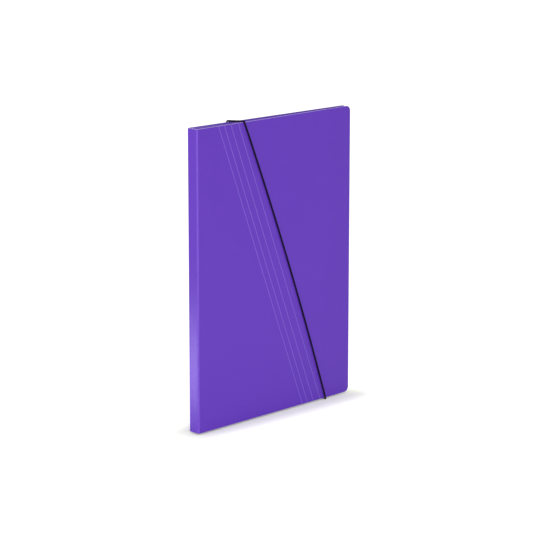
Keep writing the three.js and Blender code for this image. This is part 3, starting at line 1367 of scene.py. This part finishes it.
@dataclass(frozen=True)
class ElasticCord:
    """The round elastic that holds the folder shut, from eyelet to eyelet. Millimetres.

    Attributes:
        strands: How many strands run each way round it, fewer and coarser than real ones so that
            they show.
        strand_length: Length along the cord after which the braid repeats.
    """

    folder: FolderFrame
    diameter: float = 1.94
    model_diameter: float = 1.7
    clearance: float = 0.15
    top_crossing: float = 68.0
    bottom_crossing: float = 196.5
    top_drift: float = 10.0
    top_eyelet: float = 47.0
    eyelet_from_edge: float = 14.0
    bow: float = 4.0
    over_flange: float = 1.5
    end_depth: float = -1.35
    sides: int = 24
    step: float = 0.27
    bend_step: float = 0.12
    strands: int = 4
    strand_length: float = 1.6
    relief: float = 0.06

    @property
    def offset(self) -> float:
        """Distance from a board's face to the cord's middle."""
        return self.model_diameter / 2 + self.clearance

    def corners(self) -> list[Vector]:
        """The route's points as given, in the folder's own millimetres.

        Returns:
            The points from the top eyelet to the bottom one.
        """
        height = self.folder.height / MM
        slope = math.tan(self.folder.lean)
        depth = self.folder.depth / MM
        above = height + self.offset
        below = -self.offset
        front_offset = self.offset / math.cos(self.folder.lean)

        def front(x: float) -> float:
            """Y of the cord over the front cover."""
            return x * slope - depth - front_offset

        return [
            Vector((self.top_eyelet, self.end_depth, height - self.eyelet_from_edge)),
            Vector((self.top_eyelet, self.over_flange, height - self.eyelet_from_edge)),
            Vector((self.top_crossing - self.top_drift, self.offset, above)),
            Vector((self.top_crossing, front(self.top_crossing), above)),
            Vector((self.bottom_crossing, front(self.bottom_crossing), below)),
            Vector((self.bottom_crossing, self.offset, below)),
            Vector((self.bottom_crossing, self.over_flange, self.eyelet_from_edge)),
            Vector((self.bottom_crossing, self.end_depth, self.eyelet_from_edge)),
        ]

    def run(self, start: Vector, end: Vector) -> list[Vector]:
        """Points along one run, bowed toward the fore-edge if it is the long one.

        Args:
            start: Where the run starts.
            end: Where it ends.

        Returns:
            The points, without the first.
        """
        length = (end - start).length
        bow = self.bow if length > self.folder.height / MM / 2 else 0.0
        control = (start + end) / 2 + Vector((2 * bow, 2 * bow * math.tan(self.folder.lean), 0))
        count = max(2, round(length / self.step))
        return [arc_point(start, control, end, i / count) for i in range(1, count + 1)]

    def bend(self, corner: Vector, into: Vector, out: Vector) -> list[Vector]:
        """Points round one bend.

        Args:
            corner: Where the two runs would meet.
            into: Direction of the run before.
            out: Direction of the run after.

        Returns:
            The points from the end of one run to the start of the next.
        """
        turn = into.angle(out)
        reach = self.offset * math.tan(turn / 2)
        axis = into.cross(out).normalized()
        start = corner - into * reach
        centre = start + axis.cross(into) * self.offset
        count = max(4, round(self.offset * turn / self.bend_step))
        arm = start - centre
        return [centre + Quaternion(axis, turn * i / count) @ arm for i in range(count + 1)]

    def route(self) -> list[Vector]:
        """The cord's whole centreline, closely spaced.

        Returns:
            The points, in the folder's own millimetres.
        """
        corners = self.corners()
        line = [corners[0]]
        for before, corner, after in zip(corners, corners[1:], corners[2:]):
            into = (corner - before).normalized()
            out = (after - corner).normalized()
            bend = self.bend(corner, into, out)
            line += self.run(line[-1], bend[0]) + bend[1:]
        return line + self.run(line[-1], corners[-1])

    def braid(self, angle: float, travelled: float) -> float:
        """How high the braid stands at a place on the cord, from 0 in a gap to 1 on a strand."""
        turn, twist = self.strands * angle, math.pi * travelled / self.strand_length
        return 0.5 + 0.5 * math.cos(turn + twist) * math.cos(turn - twist)

    def build(self, finishes: Finishes) -> Object:
        """Models the braided cord as one tube along its route.

        Args:
            finishes: The folder's finishes.

        Returns:
            The cord.
        """
        line = self.route()
        bm = bmesh.new()
        strand = bm.verts.layers.float.new("strand")
        normal = Vector((1, 0, 0))
        travelled = 0.0
        rings = []
        for i, point in enumerate(line):
            along = (line[min(i + 1, len(line) - 1)] - line[max(i - 1, 0)]).normalized()
            normal = (normal - along * normal.dot(along)).normalized()
            binormal = along.cross(normal)
            if i:
                travelled += (point - line[i - 1]).length
            ring = []
            for j in range(self.sides):
                angle = 2 * math.pi * j / self.sides
                height = self.braid(angle, travelled)
                radius = self.diameter / 2 - self.relief * (1 - height)
                arm = normal * math.cos(angle) + binormal * math.sin(angle)
                vertex = bm.verts.new(self.folder.at(*(point + arm * radius)))
                vertex[strand] = height
                ring.append(vertex)
            rings.append(ring)
        for ring, onward in zip(rings, rings[1:]):
            for j in range(self.sides):
                k = (j + 1) % self.sides
                bm.faces.new((ring[j], ring[k], onward[k], onward[j]))
        bm.faces.new(rings[0][::-1])
        bm.faces.new(rings[-1])
        mesh = bpy.data.meshes.new("braided_cord")
        bm.to_mesh(mesh)
        bm.free()
        cord = bpy.data.objects.new("braided_cord", mesh)
        bpy.context.scene.collection.objects.link(cord)
        select_only(cord)
        bpy.ops.object.shade_smooth_by_angle(angle=math.radians(Smooth.CORD))
        dress(cord, finishes.elastic)
        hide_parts("elastic_cord")
        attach(cord, "back")
        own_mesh(cord)
        return cord


# Studio


@dataclass(frozen=True)
class Softbox:
    """A square lamp that faces the folder. Metres and watts.

    Attributes:
        only_reflected: Whether it shows in reflections and lights nothing else.
    """

    name: str
    place: Vector
    size: float
    power: float
    only_reflected: bool = False
    target: Vector = Vector((0, 0, 0.15))

    def build(self) -> None:
        """Adds the lamp."""
        data = bpy.data.lights.new(self.name, "AREA")
        data.size = self.size
        data.energy = self.power
        lamp = bpy.data.objects.new(self.name, data)
        lamp.location = self.place
        lamp.visible_camera = False
        lamp.visible_diffuse = not self.only_reflected
        lamp.rotation_euler = (self.target - self.place).to_track_quat("-Z", "Y").to_euler()
        bpy.context.scene.collection.objects.link(lamp)


@dataclass(frozen=True)
class Studio:
    """White floor, soft lamps, and the camera at the photograph's viewing angle.

    Attributes:
        footprint: Half the folder's length and depth on the floor.
        shadow_reach: How far from the footprint the painted contact shadow ends.
        painted_shadow_glow: What the floor glows with under the folder, where it is seen; lower than the
            glow, so it paints a contact shadow round the folder.
        glow: What it glows with elsewhere, so that it shows white.
    """

    camera_place: Vector = Vector((-1.7100, -1.7102, 0.6812))
    camera_yaw: float = 44.87
    camera_pitch: float = 12.177
    lens: float = 156.25
    floor_size: float = 12.0
    floor_colour: str = "#F6F7EC"
    sky: float = 0.62
    footprint: Vector = Vector((0.1175, 0.0085, 0))
    shadow_reach: float = 0.034
    painted_shadow_glow: float = 0.16
    glow: float = 0.57
    softboxes: tuple[Softbox, ...] = (
        Softbox("key_softbox", Vector((-1.5, -2.3, 0.95)), 1.4, 37),
        Softbox("left_softbox", Vector((-2.2, 0.3, 0.6)), 1.2, 18),
        Softbox("low_front_card", Vector((-0.02, -0.3, 0.05)), 0.34, 0.24),
        Softbox("low_side_card", Vector((-0.205, 0.09, 0.03)), 0.12, 0.32, only_reflected=True),
    )

    def build(self) -> None:
        """Sets up the whole studio."""
        self.add_camera()
        self.add_floor()
        self.add_world()
        for softbox in self.softboxes:
            softbox.build()
        bpy.context.scene.view_settings.view_transform = "Standard"

    def add_camera(self) -> None:
        """Adds the camera."""
        data = bpy.data.cameras.new("camera")
        data.lens = self.lens
        data.sensor_width = 36
        camera = bpy.data.objects.new("camera", data)
        camera.location = self.camera_place
        camera.rotation_euler = (math.radians(90 - self.camera_pitch), 0, math.radians(-self.camera_yaw))
        bpy.context.scene.collection.objects.link(camera)
        bpy.context.scene.camera = camera

    def add_floor(self) -> None:
        """Adds the floor, white to the eye and to reflections, which keeps the folder's shadow; its glow
        dips round the folder into a painted contact shadow.
        """
        bpy.ops.object.select_all(action="DESELECT")
        bpy.ops.mesh.primitive_plane_add(size=self.floor_size)
        floor = bpy.context.object
        floor.name = "floor"
        material, tree = new_material("white_paper_sweep")
        paper = add(tree, "ShaderNodeBsdfDiffuse", {"Color": linear(self.floor_colour)}).outputs[0]
        place = add(tree, "ShaderNodeTexCoord").outputs["Object"]
        aside = add(tree, "ShaderNodeVectorMath", {0: place}, operation="ABSOLUTE")
        for operation, value in (("SUBTRACT", self.footprint), ("MAXIMUM", Vector())):
            inputs = {0: aside.outputs["Vector"], 1: value}
            aside = add(tree, "ShaderNodeVectorMath", inputs, operation=operation)
        distance = add(tree, "ShaderNodeVectorMath", {0: aside.outputs["Vector"]}, operation="LENGTH")
        # The glow dips near the folder's footprint: a painted contact shadow on top of the real one
        level = add(
            tree,
            "ShaderNodeMapRange",
            {
                "Value": distance.outputs["Value"],
                "From Max": self.shadow_reach,
                "To Min": self.painted_shadow_glow,
                "To Max": self.glow,
            },
            interpolation_type="SMOOTHSTEP",
        ).outputs["Result"]
        glow = add(tree, "ShaderNodeEmission", {"Color": linear(WHITE), "Strength": level}).outputs[0]
        both = add(tree, "ShaderNodeAddShader", {0: paper, 1: glow}).outputs[0]
        seen = self.seen_directly(tree)
        mixed = add(tree, "ShaderNodeMixShader", {0: seen, 1: paper, 2: both}).outputs[0]
        add(tree, "ShaderNodeOutputMaterial", {"Surface": mixed})
        floor.data.materials.append(material)

    def seen_directly(self, tree: NodeTree) -> NodeSocket:
        """A socket that is 1 for camera, glossy and transmission rays.

        Args:
            tree: The tree to add to.

        Returns:
            The socket.
        """
        path = add(tree, "ShaderNodeLightPath")
        seen = path.outputs["Is Camera Ray"]
        for ray in ("Is Glossy Ray", "Is Transmission Ray"):
            either = add(tree, "ShaderNodeMath", {0: seen, 1: path.outputs[ray]}, operation="MAXIMUM")
            seen = either.outputs[0]
        return seen

    def add_world(self) -> None:
        """Adds the even light of a white studio, pure white where it is seen."""
        world = bpy.data.worlds.new("studio")
        world.use_nodes = True
        tree = world.node_tree
        tree.nodes.clear()
        seen = self.seen_directly(tree)
        level = add(
            tree, "ShaderNodeMapRange", {"Value": seen, "To Min": self.sky, "To Max": 1.0}
        ).outputs["Result"]
        light = add(tree, "ShaderNodeBackground", {"Color": linear(WHITE), "Strength": level})
        add(tree, "ShaderNodeOutputWorld", {"Surface": light.outputs["Background"]})
        bpy.context.scene.world = world


def main() -> None:
    """Builds the studio and the folder, piece by piece."""
    logging.basicConfig(level=logging.INFO, format="%(name)s: %(message)s")
    Studio().build()
    folder = FolderFrame.read()
    finishes = Finishes.make()
    cord = ElasticCord(folder)
    pieces = Covers(folder).build(finishes, cord)
    pieces.append(cord.build(finishes))
    pieces += Flaps(folder).build(finishes)
    height = folder.height / MM
    ends = (
        CordEnd(folder, "top", cord.top_eyelet, height - cord.eyelet_from_edge),
        CordEnd(folder, "bottom", cord.bottom_crossing, cord.eyelet_from_edge),
    )
    for end in ends:
        pieces += end.build(finishes)
    for piece in pieces:
        LOG.info("%s has %d faces", piece.name, len(piece.data.polygons))


if __name__ == "__main__":
    main()
